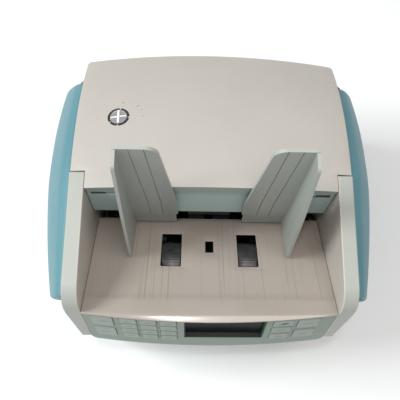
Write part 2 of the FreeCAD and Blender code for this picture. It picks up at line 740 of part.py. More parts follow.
def rear_cover():
    low = PARTING + 0.7
    outer = cover_block(0.0, low - 12, COVER_CORNER)
    inner = cover_block(WALL, low - 14, COVER_CORNER / 2)
    below = box((-130, 130), (80, 250), (low, low - 40))
    mouth = box((0.1 - COVER_HALF, COVER_HALF - 0.1), (COVER_FRONT - 1, COVER_FRONT + WALL + 0.2), (15.0, low - 1))
    shell = cut(outer, [inner, below, mouth])
    ears = []
    for x in (-59.0, 55.0):
        knuckle = cylinder_x((HINGE_Y, HINGE_Z), 3.3, (x, x + 4))
        outline = [(HINGE_Y - 3.0, HINGE_Z), (HINGE_Y + 3.2, HINGE_Z)]
        outline += [(232.0, -34), (236.0, -28), (236.0, -12), (212.0, -4)]
        ears += [knuckle, side_prism(outline, (x, x + 4)).common(outer.fuse(knuckle))]
    lugs = []
    for x in (-29.5, 26.0):
        lug = side_prism([(150, 30), (150, -38, 3), (158, -38, 3), (158, 30)], (x, x + 3.5))
        lugs.append(lug.common(outer))
    body = fuse([shell] + ears + lugs)
    pins = cylinder_x((HINGE_Y, HINGE_Z), HINGE_PIN_R + 0.05, (-70, 70))
    pivot = cylinder_x(RETARD_PIVOT, RETARD_PIVOT_R + 0.05, (-40, 40))
    return cut(body, [pins, pivot, knob_cylinder(KNOB_R + 0.5, -6, 6)])


def hopper_back_wall():
    """Rear wall of the hopper, with the slots that the guides' arms slide in."""
    outline = [(96.3, 14.6), (90.2, -29.3, 3.0), (104.0, -31.5)]
    outline += [(104.0, -29.0), (93.0, -26.5, 2.0), (97.9, 14.6)]
    wall = side_prism(outline, (-94.6, 94.6))
    wings = side_prism([(96.3, 14.6), (90.2, -29.3), (91.8, -29.1), (97.9, 14.6)], (-101.2, 101.2))
    right_slot = box(SLOT_X, (80, 120), (SLOT_Z - 1.6, SLOT_Z + 1.6))
    slots = [right_slot, mirrored(right_slot)]
    return cut(fuse([wall, wings]), slots)


def rack(x_span, y_front, faces_rear):
    """Toothed bar along X at the guides' slot level."""
    height = 2.4
    bar_depth = 3.0
    tooth = 2.0 * TOOTH_MODULE
    pitch = math.pi * TOOTH_MODULE
    bar = box(x_span, (y_front, y_front + bar_depth), (SLOT_Z - height / 2, SLOT_Z + height / 2))
    root = y_front + bar_depth if faces_rear else y_front
    tip = root + tooth if faces_rear else root - tooth
    teeth = []
    count = int((x_span[1] - x_span[0]) / pitch) - 1
    first = math.ceil((x_span[0] + pitch) / pitch) + 0.5
    for index in range(count):
        middle = (first + index) * pitch
        if middle > x_span[1] - 1.2:
            break
        corners = [(middle - 1.0, root), (middle + 1.0, root), (middle + 0.32, tip), (middle - 0.32, tip)]
        points = [at(y, SLOT_Z - height / 2, x) for x, y in corners]
        teeth.append(Part.Face(rounded_wire(points, [0.0] * 4)).extrude(V(0, 0, height)))
    return fuse([bar] + teeth)


def guide_pinion():
    """Small gear between the two racks; it keeps the guides centred."""
    pitch = 2 * math.pi / PINION_TEETH
    root_r = PINION_R - 1.2 * TOOTH_MODULE
    tip_r = PINION_R + 0.75 * TOOTH_MODULE
    low = SLOT_Z - 1.2
    centre = at(PINION_Y, low)
    pieces = [Part.makeCylinder(root_r, 2.4, centre, V(0, 0, 1))]
    for index in range(PINION_TEETH):
        middle = index * pitch
        corners = []
        for radius, half in ((root_r - 0.4, 0.2), (PINION_R, 0.105), (tip_r, 0.045)):
            corners.append((radius, half))
        outline = [(r, middle - h) for r, h in corners] + [(r, middle + h) for r, h in reversed(corners)]
        points = [centre + V(r * math.sin(a), r * math.cos(a), 0) for r, a in outline]
        pieces.append(Part.Face(rounded_wire(points, [0.0] * 6)).extrude(V(0, 0, 2.4)))
    hub = Part.makeCylinder(3.0, 8.0, centre - V(0, 0, 4), V(0, 0, 1))
    return fuse(pieces + [hub])


RACK_FRONT = PINION_Y - PINION_R - 1.0 - 3.0
RACK_REAR = PINION_Y + PINION_R + 1.0


def guide_plates():
    """Left banknote guide: side plate and leaning back plate."""
    side_corners = [
        (100.5, GUIDE_TOP, 3.0),
        (86.0, GUIDE_TOP, 4.0),
        (66.5, 36.0, 90.0),
        (49.5, -31.0, 4.0),
        (87.2, -56.4, 1.0),
        (89.6, GUIDE_STEP),
        (91.2, 2.0),
    ]
    side = side_prism(side_corners, (-GUIDE_X - GUIDE_THICK / 2, -GUIDE_X + GUIDE_THICK / 2))
    back_corners = [
        (-GUIDE_X, GUIDE_STEP),
        (-GUIDE_INNER, GUIDE_STEP, 4.0),
        (-GUIDE_INNER, 1.0, 20.0),
        (-39.5, GUIDE_TOP, 10.0),
        (-GUIDE_X, GUIDE_TOP, 0.0),
    ]
    slab = front_prism(back_corners, (60.0, 110.0))
    lean = [(89.6, GUIDE_STEP), (91.2, 2.0), (101.6, 103.0), (99.1, 103.0), (88.7, 2.0), (87.1, GUIDE_STEP)]
    back = side_prism(lean, (-GUIDE_X, -20.0)).common(slab)
    foot_lean = [(88.2, -55.6), (89.6, GUIDE_STEP + 1), (88.3, GUIDE_STEP + 1), (86.9, -55.6)]
    foot = side_prism(foot_lean, (-GUIDE_X, -GUIDE_INNER - 2))
    return fuse([side, back, foot])


def guide(arm_x, rack_shape, rack_y):
    arm = box((arm_x - 5, arm_x + 5), (90.0, rack_y), (SLOT_Z - 1.2, SLOT_Z + 1.2))
    return fuse([arm, rack_shape])


def guide_left():
    """The left guide's rack passes in front of the pinion."""
    carrier = guide(-GUIDE_X, rack((-73.0, 27.0), RACK_FRONT, True), RACK_FRONT + 1)
    return fuse([guide_plates(), carrier])


def guide_right():
    """The right guide's rack passes behind the pinion, over the left one's plane."""
    carrier = guide(GUIDE_X, rack((-27.0, 73.0), RACK_REAR, False), RACK_REAR + 1)
    return fuse([mirrored(guide_plates()), carrier])


def retard_bracket():
    cheeks = []
    for x in (-24.0, 21.0):
        outline = [(104, -62), (117, -62), (160, -40), (160, -28), (128, -28), (104, -48)]
        cheeks.append(side_prism(outline, (x, x + 3)))
    bridge = box((-24, 24), (132, 158), (-31, -28))
    pivot = cylinder_x(RETARD_PIVOT, RETARD_PIVOT_R, (-29.5, 29.5))
    axle = cylinder_x(RETARD, 3.0, (-24, 24))
    return fuse(cheeks + [bridge, pivot, axle])


def retard_roller():
    ring = cylinder_x(RETARD, RETARD_R, (-19.5, 19.5)).cut(cylinder_x(RETARD, 3.0, (-25, 25)))
    return ring


def adjust_knob():
    disc = knob_cylinder(KNOB_R, -4.0, 2.2)
    stem = knob_cylinder(2.5, -12.0, -4.5)
    flange = knob_cylinder(KNOB_R + 2.0, -5.0, -3.6)
    scoop = knob_cylinder(KNOB_R - 1.0, 1.2, 3.0)
    across = V(1, 0, 0).cross(KNOB_NORMAL).normalize()
    along = across.cross(KNOB_NORMAL)
    rib = placed(pad(2 * KNOB_R - 1.5, 2.4, 1.0, 2.4, 0.6),
                 FreeCAD.Placement(KNOB_CENTRE, FreeCAD.Rotation(along, across * -1, KNOB_NORMAL, "ZXY")))
    return fuse([fuse([disc, stem, flange]).cut(scoop), rib])


# ------------------------------------------------------------------- export

save("base_tray", base_tray())
save("rubber_feet", rubber_feet())
save_pair("cheek", cheek_left())
save_pair("side_panel", side_panel_left())
save_pair("chassis", chassis_left())
save("shaft_bearings", shaft_bearings())
save("rear_housing", rear_housing())
save("hinge_pins", hinge_pins())
save("power_inlet", power_inlet())
save("power_switch", power_switch())
save("stacker_wall", stacker_wall())
save("stacker_tray", stacker_tray())
save("feed_plate", feed_plate())
save("control_panel", control_panel())
save("display_window", display_window())
save("keypad_board", keypad_board())
for key_name, key_size in KEYS.items():
    save(key_name, key_cap(*key_size))

save("pickup_shaft", shaft(PICKUP, SHAFT_SPAN, pulley_steps(PICKUP)))
save("feed_shaft", shaft(FEED, SHAFT_SPAN, pulley_steps(FEED)))
save("transport_shaft", shaft(TRANSPORT, SHAFT_SPAN, pulley_steps(TRANSPORT)))
save("stacker_shaft", shaft(STACKER, SHAFT_SPAN, pulley_steps(STACKER)))
save("pickup_rollers", roller_set(PICKUP, PICKUP_R, SHAFT_R, [(ROLLER_X - 8.5, ROLLER_X + 8.5)]))
save("feed_rollers", roller_set(FEED, FEED_R, SHAFT_R, [(4.0, 19.0), (40.0, 52.0)]))
save("transport_rollers", roller_set(TRANSPORT, TRANSPORT_R, SHAFT_R, [(8.0, 20.0), (44.0, 56.0)]))
save("stacker_wheels", stacker_wheels())
save("drive_belts", drive_belts())
save("motor_body", motor_body())
save("motor_pulley", motor_pulley())
save("main_board", main_board())
save("power_supply", power_supply())
save("case_screws", case_screws())

save("rear_cover", rear_cover())
save("hopper_back_wall", hopper_back_wall())
save("guide_left", guide_left())
save("guide_right", guide_right())
save("guide_pinion", guide_pinion())
save("retard_bracket", retard_bracket())
save("retard_roller", retard_roller())
save("adjust_knob", adjust_knob())
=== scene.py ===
import json
import math

import bmesh
import bpy
from mathutils import Matrix, Vector


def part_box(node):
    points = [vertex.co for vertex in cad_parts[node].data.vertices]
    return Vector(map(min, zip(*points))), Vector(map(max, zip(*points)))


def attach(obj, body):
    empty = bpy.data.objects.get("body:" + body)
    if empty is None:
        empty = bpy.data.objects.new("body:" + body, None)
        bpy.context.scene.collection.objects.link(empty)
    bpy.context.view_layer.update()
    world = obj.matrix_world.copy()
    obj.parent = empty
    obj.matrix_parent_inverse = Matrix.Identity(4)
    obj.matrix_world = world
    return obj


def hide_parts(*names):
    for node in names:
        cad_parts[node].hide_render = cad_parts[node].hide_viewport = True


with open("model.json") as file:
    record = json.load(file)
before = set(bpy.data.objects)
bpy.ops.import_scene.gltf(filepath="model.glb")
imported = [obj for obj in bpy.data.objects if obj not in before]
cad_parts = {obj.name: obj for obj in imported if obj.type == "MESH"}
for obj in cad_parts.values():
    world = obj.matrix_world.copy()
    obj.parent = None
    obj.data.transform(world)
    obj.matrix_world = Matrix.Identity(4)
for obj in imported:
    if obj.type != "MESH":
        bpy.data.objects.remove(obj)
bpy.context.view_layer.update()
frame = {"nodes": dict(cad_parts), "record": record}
NODES = frame["nodes"]
BODY_OF = {node: body for body, nodes in frame["record"]["behaviour"]["bodies"].items() for node in nodes}
SLOT_OF = {entry["node"]: entry["material_slot"] for entry in frame["record"]["subparts"]}

# ---------------------------------------------------------------- dimensions
# Millimetres, but LIP_Y and LIP_Z are metres. A pair (y, z) is measured behind and above the ends of
# the feed lip, the bowed front edge of the feed plate; x is measured from the middle.
MM = 0.001
LIP_BOW = 6.5
LIP_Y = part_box("feed_plate")[0].y + LIP_BOW * MM
LIP_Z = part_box("feed_plate")[1].z
HOPPER_HALF = 102.0
CHEEK_OUT = 114.0
BASE_TOP = 12.0 - LIP_Z / MM
COVER_RADIUS = 235.0
COVER_FRONT = 95.4
COVER_TOP = 28.6
CROWN_RADIUS = 720.0
PANEL_LEAN = math.radians(15.6)
# Distance within which points of a mesh count as one, in metres.
WELD = 1e-6


def at(y, z, x=0.0):
    """Point in metres from millimetres behind, above and beside the middle of the lip's ends."""
    return Vector((x * MM, LIP_Y + y * MM, LIP_Z + z * MM))


def bow_at(x):
    """How far the lip and the control panel bulge forward at x."""
    return LIP_BOW * (1 - (x / HOPPER_HALF) ** 2)


def cover_level(y):
    """Height of the cover's arc at y, in the middle of the machine."""
    return COVER_TOP - COVER_RADIUS + math.sqrt(COVER_RADIUS ** 2 - (y - COVER_FRONT) ** 2)


# ----------------------------------------------------------------- materials

# Millimetres behind the lip: where the plate's polish ends, and where the painted shade darkening it towards
# the lip starts and ends.
POLISH_END = (9.0, 14.0)
PLATE_PAINTED_SHADE = (-8.0, 62.0)


def new_material(name):
    material = bpy.data.materials.new(name)
    material.use_nodes = True
    tree = material.node_tree
    shader = tree.nodes["Principled BSDF"]
    coords = tree.nodes.new("ShaderNodeTexCoord")
    return material, tree, shader, coords


def add_noise(tree, coords, scale, detail, stretch=None):
    noise = tree.nodes.new("ShaderNodeTexNoise")
    noise.inputs["Scale"].default_value = scale
    noise.inputs["Detail"].default_value = detail
    source = coords.outputs["Object"]
    if stretch:
        mapping = tree.nodes.new("ShaderNodeMapping")
        mapping.inputs["Scale"].default_value = stretch
        tree.links.new(source, mapping.inputs["Vector"])
        source = mapping.outputs["Vector"]
    tree.links.new(source, noise.inputs["Vector"])
    return noise


def add_ramp(tree, source, stops):
    ramp = tree.nodes.new("ShaderNodeValToRGB")
    elements = ramp.color_ramp.elements
    while len(elements) < len(stops):
        elements.new(0.5)
    for element, (position, colour) in zip(elements, stops):
        element.position = position
        element.color = (*colour, 1.0)
    tree.links.new(source, ramp.inputs["Fac"])
    return ramp


def add_bump(tree, shader, height, strength, distance):
    bump = tree.nodes.new("ShaderNodeBump")
    bump.inputs["Strength"].default_value = strength
    bump.inputs["Distance"].default_value = distance
    tree.links.new(height, bump.inputs["Height"])
    tree.links.new(bump.outputs["Normal"], shader.inputs["Normal"])


def add_roughness(tree, shader, source, low, high):
    """Roughness from low to high, following the source."""
    remap = tree.nodes.new("ShaderNodeMapRange")
    remap.inputs["To Min"].default_value = low
    remap.inputs["To Max"].default_value = high
    tree.links.new(source, remap.inputs["Value"])
    tree.links.new(remap.outputs["Result"], shader.inputs["Roughness"])


def shade(colour, factor):
    return tuple(min(1.0, c * factor) for c in colour)


def moulded(name, colour, rough=(0.42, 0.55), spread=0.05):
    """Moulded plastic: spark-eroded grain, faint shade changes and handled patches."""
    material, tree, shader, coords = new_material(name)
    patches = add_noise(tree, coords, scale=14.0, detail=4.0)
    grain = add_noise(tree, coords, scale=1400.0, detail=2.0)
    stops = [(0.3, shade(colour, 1.0 - spread)), (0.7, shade(colour, 1.0 + spread))]
    tone = add_ramp(tree, patches.outputs["Fac"], stops)
    tree.links.new(tone.outputs["Color"], shader.inputs["Base Color"])
    smears = add_noise(tree, coords, scale=45.0, detail=5.0, stretch=(1.0, 0.35, 1.0))
    add_roughness(tree, shader, smears.outputs["Fac"], *rough)
    shader.inputs["Specular IOR Level"].default_value = 0.45
    add_bump(tree, shader, grain.outputs["Fac"], strength=0.35, distance=0.00006)
    return material


def multiply(tree, first, second, factor=None):
    """Product of two colours, or of the first with a share of the second."""
    mix = tree.nodes.new("ShaderNodeMix")
    mix.data_type = "RGBA"
    mix.blend_type = "MULTIPLY"
    mix.inputs["Factor"].default_value = 1.0
    if factor:
        tree.links.new(factor, mix.inputs["Factor"])
    tree.links.new(first, mix.inputs["A"])
    tree.links.new(second, mix.inputs["B"])
    return mix.outputs["Result"]


def object_axis(tree, coords, axis, low, high, unsigned=False):
    """Share of the way from low to high, in millimetres, along one object axis."""
    split = tree.nodes.new("ShaderNodeSeparateXYZ")
    tree.links.new(coords.outputs["Object"], split.inputs["Vector"])
    value = split.outputs[axis]
    if unsigned:
        size = tree.nodes.new("ShaderNodeMath")
        size.operation = "ABSOLUTE"
        tree.links.new(value, size.inputs[0])
        value = size.outputs["Value"]
    share = tree.nodes.new("ShaderNodeMapRange")
    share.inputs["From Min"].default_value = low * MM
    share.inputs["From Max"].default_value = high * MM
    tree.links.new(value, share.inputs["Value"])
    return share.outputs["Result"]


def worn_and_shaded_plate(name, colour):
    """Painted feed plate: a polished front strip, behind it fine lines worn by sliding notes, and painted
    shade darkening it towards the lip.
    """
    material, tree, shader, coords = new_material(name)
    scratches = add_noise(tree, coords, scale=620.0, detail=2.0, stretch=(1.0, 0.006, 0.006))
    patches = add_noise(tree, coords, scale=18.0, detail=4.0)
    behind = object_axis(tree, coords, "Y", *(LIP_Y / MM + y for y in POLISH_END))
    # Painted shade: the colour darkens from full, well back in the hopper, to 85% at the lip.
    depth = object_axis(tree, coords, "Y", *(LIP_Y / MM + y for y in PLATE_PAINTED_SHADE))
    base = add_ramp(tree, depth, [(0.0, shade(colour, 0.85)), (0.22, shade(colour, 0.90)), (0.9, colour)])
    lines = add_ramp(tree, scratches.outputs["Fac"], [(0.30, (0.80, 0.78, 0.76)), (0.40, (1.0, 1.0, 1.0))])
    blotches = add_ramp(tree, patches.outputs["Fac"], [(0.3, (0.94, 0.93, 0.92)), (0.7, (1.0, 1.0, 1.0))])
    tone = multiply(tree, base.outputs["Color"], blotches.outputs["Color"])
    tone = multiply(tree, tone, lines.outputs["Color"], behind)
    tree.links.new(tone, shader.inputs["Base Color"])
    add_roughness(tree, shader, behind, 0.16, 0.40)
    shader.inputs["Specular IOR Level"].default_value = 0.6
    add_bump(tree, shader, scratches.outputs["Fac"], strength=0.08, distance=0.00003)
    return material


def tinted(material, axis, low, high, tint, unsigned=False):
    """Multiplies the colour by a tint below low, in millimetres along an axis, fading out by high."""
    tree = material.node_tree
    shader = tree.nodes["Principled BSDF"]
    coords = next(node for node in tree.nodes if node.type == "TEX_COORD")
    share = object_axis(tree, coords, axis, low, high, unsigned)
    ratio = add_ramp(tree, share, [(0.0, tint), (1.0, (1.0, 1.0, 1.0))])
    plain = shader.inputs["Base Color"].links[0].from_socket
    tree.links.new(multiply(tree, plain, ratio.outputs["Color"]), shader.inputs["Base Color"])
    return material


def metal(name, colour, rough=(0.25, 0.42)):
    """Metal brushed along its X axis."""
    material, tree, shader, coords = new_material(name)
    brushing = add_noise(tree, coords, scale=1500.0, detail=2.0, stretch=(0.05, 1.0, 1.0))
    stops = [(0.3, shade(colour, 0.86)), (0.7, shade(colour, 1.06))]
    tone = add_ramp(tree, brushing.outputs["Fac"], stops)
    tree.links.new(tone.outputs["Color"], shader.inputs["Base Color"])
    add_roughness(tree, shader, brushing.outputs["Fac"], *rough)
    shader.inputs["Metallic"].default_value = 1.0
    add_bump(tree, shader, brushing.outputs["Fac"], strength=0.12, distance=0.00003)
    return material


def rubbery(name, colour, rough):
    """Rubber with a little dust on it."""
    material, tree, shader, coords = new_material(name)
    dust = add_noise(tree, coords, scale=160.0, detail=5.0)
    tone = add_ramp(tree, dust.outputs["Fac"], [(0.35, colour), (0.75, shade(colour, 1.9))])
    tree.links.new(tone.outputs["Color"], shader.inputs["Base Color"])
    add_roughness(tree, shader, dust.outputs["Fac"], *rough)
    shader.inputs["Specular IOR Level"].default_value = 0.5
    add_bump(tree, shader, dust.outputs["Fac"], strength=0.2, distance=0.00008)
    return material


def board(name, colour):
    """Circuit board: solder mask with a faint pattern of tracks under it."""
    material, tree, shader, coords = new_material(name)
    cells = tree.nodes.new("ShaderNodeTexBrick")
    cells.inputs["Scale"].default_value = 180.0
    cells.inputs["Color1"].default_value = (*colour, 1.0)
    cells.inputs["Color2"].default_value = (*shade(colour, 1.35), 1.0)
    cells.inputs["Mortar"].default_value = (*shade(colour, 0.6), 1.0)
    tree.links.new(coords.outputs["Object"], cells.inputs["Vector"])
    tree.links.new(cells.outputs["Color"], shader.inputs["Base Color"])
    shader.inputs["Roughness"].default_value = 0.3
    return material


def glassy(name, colour):
    """Dark display window: gloss with faint finger marks."""
    material, tree, shader, coords = new_material(name)
    marks = add_noise(tree, coords, scale=60.0, detail=4.0)
    tone = add_ramp(tree, marks.outputs["Fac"], [(0.4, colour), (0.7, shade(colour, 1.6))])
    tree.links.new(tone.outputs["Color"], shader.inputs["Base Color"])
    add_roughness(tree, shader, marks.outputs["Fac"], 0.2, 0.3)
    shader.inputs["IOR"].default_value = 1.08
    return material


# The cover's front face and the cheeks' inner faces catch another light, which two tints stand for.
COVER_FACE = (LIP_Y / MM + COVER_FRONT + 0.1, LIP_Y / MM + COVER_FRONT + 1.1)
CHEEK_FACE = (HOPPER_HALF + 0.3, HOPPER_HALF + 1.2)
MATERIALS = {
    "cover_grey": tinted(
        moulded("cover_grey", (0.455, 0.423, 0.389), spread=0.03), "Y", *COVER_FACE, (0.95, 1.12, 1.16)),
    "case_grey": moulded("case_grey", (0.440, 0.435, 0.400), spread=0.04),
    "cheek_grey": tinted(
        moulded("cheek_grey", (0.400, 0.410, 0.377), spread=0.04),
        "X", *CHEEK_FACE, (1.40, 1.25, 1.23), unsigned=True),
    "panel_grey": moulded("panel_grey", (0.218, 0.268, 0.228)),
    "key_grey": moulded("key_grey", (0.255, 0.305, 0.268), rough=(0.35, 0.48), spread=0.03),
    "hopper_green": moulded("hopper_green", (0.440, 0.560, 0.550), spread=0.04),
    "guide_green": moulded("guide_green", (0.380, 0.400, 0.375), rough=(0.36, 0.48), spread=0.04),
    "side_teal": moulded("side_teal", (0.098, 0.240, 0.285), rough=(0.40, 0.55)),
    "plate_grey": worn_and_shaded_plate("plate_grey", (0.435, 0.382, 0.342)),
    "rubber": rubbery("rubber", (0.026, 0.026, 0.027), rough=(0.22, 0.38)),
    "belt": rubbery("belt", (0.015, 0.015, 0.015), rough=(0.5, 0.7)),
    "black_plastic": moulded("black_plastic", (0.020, 0.020, 0.021), spread=0.2),
    "wheel_plastic": moulded("wheel_plastic", (0.62, 0.58, 0.48), spread=0.03),
    "window_dark": glassy("window_dark", (0.008, 0.009, 0.010)),
    "silver": metal("silver", (0.80, 0.79, 0.78), rough=(0.18, 0.32)),
    "steel": metal("steel", (0.52, 0.52, 0.53)),
    "bronze": metal("bronze", (0.55, 0.36, 0.14), rough=(0.35, 0.5)),
    "board_green": board("board_green", (0.015, 0.09, 0.04)),
    # Lighter than silver, for the knob's raised ribs: a painted highlight.
    "bright_silver": moulded("bright_silver", (0.86, 0.83, 0.82), rough=(0.25, 0.35), spread=0.03),
    "mark_grey": moulded("mark_grey", (0.50, 0.465, 0.43), spread=0.03),
    "mark_ink": moulded("mark_ink", (0.13, 0.15, 0.135), spread=0.1),
    "mark_green": moulded("mark_green", (0.02, 0.13, 0.06), spread=0.1),
}


def give_material(obj, material):
    obj.data.materials.clear()
    obj.data.materials.append(material)


for node_name, cad_object in NODES.items():
    give_material(cad_object, MATERIALS[SLOT_OF[node_name]])

# -------------------------------------------------------------- mesh helpers

def new_object(name, mesh, slot, body, material=None):
    obj = bpy.data.objects.new(name, mesh)
    bpy.context.scene.collection.objects.link(obj)
    give_material(obj, material or MATERIALS[slot])
    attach(obj, body)
    return obj


def finish_bmesh(bm, name, smooth_angle=35.0):
    """Mesh with smooth faces, and sharp edges where they meet at more than the angle."""
    mesh = bpy.data.meshes.new(name)
    bmesh.ops.recalc_face_normals(bm, faces=bm.faces)
    bm.to_mesh(mesh)
    bm.free()
    for polygon in mesh.polygons:
        polygon.use_smooth = True
    mesh.set_sharp_from_angle(angle=math.radians(smooth_angle))
    return mesh


def add_bevel(obj, width, segments=3, angle=32.0):
    bevel = obj.modifiers.new("edges", "BEVEL")
    bevel.width = width * MM
    bevel.segments = segments
    bevel.limit_method = "ANGLE"
    bevel.angle_limit = math.radians(angle)
    bevel.harden_normals = False
    bevel.use_clamp_overlap = True
    bevel.miter_outer = "MITER_ARC"


def add_shell(obj, thickness):
    """Gives a surface a thickness on its inner side."""
    shell = obj.modifiers.new("shell", "SOLIDIFY")
    shell.thickness = thickness * MM
    shell.offset = -1.0


def apply_modifiers(obj):
    """Bakes the object's modifiers into its mesh."""
    graph = bpy.context.evaluated_depsgraph_get()
    mesh = bpy.data.meshes.new_from_object(obj.evaluated_get(graph))
    obj.modifiers.clear()
    old = obj.data
    obj.data = mesh
    bpy.data.meshes.remove(old)


def carve(obj, tool_mesh):
    """Cuts a mesh out of the object."""
    tool = bpy.data.objects.new("tool", tool_mesh)
    bpy.context.scene.collection.objects.link(tool)
    boolean = obj.modifiers.new("carve", "BOOLEAN")
    boolean.operation = "DIFFERENCE"
    boolean.solver = "EXACT"
    boolean.object = tool
    apply_modifiers(obj)
    bpy.data.objects.remove(tool)


def add_grid(bm, rows, closed=False):
    """Quads between rows of points; closed joins each row's last point to its first."""
    layers = [[bm.verts.new(point) for point in row] for row in rows]
    count = len(layers[0])
    for lower, upper in zip(layers, layers[1:]):
        for i in range(count if closed else count - 1):
            j = (i + 1) % count
            bm.faces.new((lower[i], lower[j], upper[j], upper[i]))
    return layers


def add_bar(bm, rows):
    """Solid through rows of points that each run round its section."""
    layers = add_grid(bm, rows, closed=True)
    bm.faces.new(layers[0])
    bm.faces.new(list(reversed(layers[-1])))


def add_slab(bm, outline, normal, thickness):
    """Closed plate: the outline's points pushed along the normal by the thickness."""
    push = Vector(normal).normalized() * thickness
    low = [bm.verts.new(point) for point in outline]
    high = [bm.verts.new(Vector(point) + push) for point in outline]
    bm.faces.new(low)
    bm.faces.new(list(reversed(high)))
    count = len(low)
    for i in range(count):
        j = (i + 1) % count
        bm.faces.new((low[i], high[i], high[j], low[j]))


def add_raised(bm, place, outline, low, thickness):
    """Plate in a frame of its own: outline and heights in millimetres, thickness along the frame's Z."""
    points = [place @ (Vector((x, y, low)) * MM) for x, y in outline]
    add_slab(bm, points, place.to_3x3() @ Vector((0, 0, 1)), thickness * MM)


def rectangle(x0, y0, x1, y1):
    return [(x0, y0), (x1, y0), (x1, y1), (x0, y1)]


def along(points, z):
    """Value at height z on a line through (value, z) points listed from top to bottom."""
    for (a, high), (b, low) in zip(points, points[1:]):
        if z >= low:
            return a + (b - a) * (high - z) / (high - low)
    return points[-1][0]


def catmull_rom(p, q, r, s, t):
    """Value at share t of the way from q to r on the curve through p, q, r and s."""
    straight = (r - p) * t
    bend = (2 * p - 5 * q + 4 * r - s) * t * t
    twist = (3 * q - p - 3 * r + s) * t ** 3
    return 0.5 * (2 * q + straight + bend + twist)


def smooth_through(points, steps):
    """Catmull-Rom curve through 2D points."""
    padded = [points[0], *points, points[-1]]
    curve = []
    for corners in zip(padded, padded[1:], padded[2:], padded[3:]):
        for k in range(steps):
            curve.append(tuple(catmull_rom(*values, k / steps) for values in zip(*corners)))
    curve.append(points[-1])
    return curve


# ------------------------------------------------------------- rounded edges

# Rounding in millimetres, and the nodes whose edges get it.
EDGE_WIDTHS = {
    1.0: ["rear_cover", "cheek_left", "cheek_right"],
    0.7: ["guide_left", "guide_right", "base_tray", "rear_housing", "stacker_tray"],
    0.5: ["control_panel", "stacker_wall", "hopper_back_wall"],
    0.35: [name for name in NODES if name.startswith("key_")],
}
# Distance within which points of a CAD mesh count as one, in metres.
CAD_WELD = 3e-6


def soften(node, width):
    """The CAD node's own shape with its edges rounded as a mould leaves them."""
    bm = bmesh.new()
    bm.from_mesh(NODES[node].data)
    bmesh.ops.remove_doubles(bm, verts=bm.verts, dist=CAD_WELD)
    bmesh.ops.dissolve_limit(bm, angle_limit=math.radians(0.5), verts=bm.verts, edges=bm.edges)
    mesh = finish_bmesh(bm, node + "_skin")
    obj = new_object(node + "_skin", mesh, SLOT_OF[node], BODY_OF[node])
    add_bevel(obj, width)
    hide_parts(node)


for edge_width, node_names in EDGE_WIDTHS.items():
    for node_name in node_names:
        soften(node_name, edge_width)
for skin_name in ("cheek_left_skin", "cheek_right_skin"):
    give_material(bpy.data.objects[skin_name], MATERIALS["cheek_grey"])

# --------------------------------------------------------------- side panels

PANEL_START = CHEEK_OUT + 0.4
PANEL_BOTTOM = BASE_TOP + 1.0
PANEL_WIDEST = 146.0
PANEL_MIDDLE_Y = 128.0
PANEL_CORNER = 3.5
PANEL_WALL = 2.5
PANEL_STATIONS = 20
# Twice the radius of the bulge seen from above, in front of its middle and behind it.
BULGE_FRONT = 1180.0
BULGE_REAR = 2700.0
# The top edge is level as far back as TOP_STEP_Y. From there it runs below the cover's arc, first a
# little higher and after TOP_EASE_LENGTH at its full distance.
TOP_LEVEL = 16.0
TOP_STEP_Y = 109.0
TOP_BELOW_COVER = 13.6
TOP_EASE = 1.4
TOP_EASE_LENGTH = 30.0
WIDEST_BELOW_TOP = 78.0
# Ends of the panel as (y, z) points from top to bottom; the rear bend is softened over EDGE_BLEND.
PANEL_FRONT = [(9.2, 30.0), (14.7, -66.0), (17.2, -190.0)]
PANEL_REAR = [(191.3, 30.0), (228.3, -105.0), (228.8, -200.0)]
EDGE_BLEND = 7.0
# First guess of a station's y, and the times it is put right.
GUESS_FRONT = 20.0
GUESS_LENGTH = 200.0
GUESS_ROUNDS = 4
# More than the panel's reach, so that a point moved in by it lands at the case.
TO_CASE = 100.0


def panel_edges(z):
    """Front and rear edge of the panel at height z; the rear edge bends from slanting to upright."""
    front = along(PANEL_FRONT, z)
    rear = sum(along(PANEL_REAR, z + shift) for shift in (-EDGE_BLEND, 0.0, EDGE_BLEND)) / 3
    return front, rear


def panel_top(y):
    """Height of the panel's top edge at one station."""
    if y <= TOP_STEP_Y:
        return TOP_LEVEL
    ease = max(0.0, 1.0 - (y - TOP_STEP_Y) / TOP_EASE_LENGTH)
    return cover_level(y) - TOP_BELOW_COVER + TOP_EASE * ease


def panel_profile(y):
    """Outer side of the bulging panel at one station, as (x, z) from its top edge to its bottom."""
    top = panel_top(y)
    widest = top - WIDEST_BELOW_TOP
    bulge = BULGE_FRONT if y < PANEL_MIDDLE_Y else BULGE_REAR
    reach = PANEL_WIDEST - (y - PANEL_MIDDLE_Y) ** 2 / bulge - PANEL_START
    points = [
        (0.0, top),
        (0.10 * reach, top - 0.8),
        (0.36 * reach, top - 8.0),
        (0.84 * reach, top - 38.0),
        (reach, widest),
        (reach - 3.0, (widest + PANEL_BOTTOM) / 2),
        (reach - 14.0, PANEL_BOTTOM + 4.0),
        (reach - 18.0, PANEL_BOTTOM),
    ]
    return smooth_through(points, 6) + [(0.0, PANEL_BOTTOM)]


def panel_row(share, inward, sideways):
    """Points down the panel at a share of its length, moved in from the end and towards the case."""
    row = []
    for i in range(len(panel_profile(PANEL_MIDDLE_Y))):
        y = GUESS_FRONT + GUESS_LENGTH * share
        for _ in range(GUESS_ROUNDS):
            x, z = panel_profile(y)[i]
            front, rear = panel_edges(z)
            y = front + inward + (rear - front - 2 * inward) * share
        row.append((max(0.0, x - sideways), y, z))
    return row


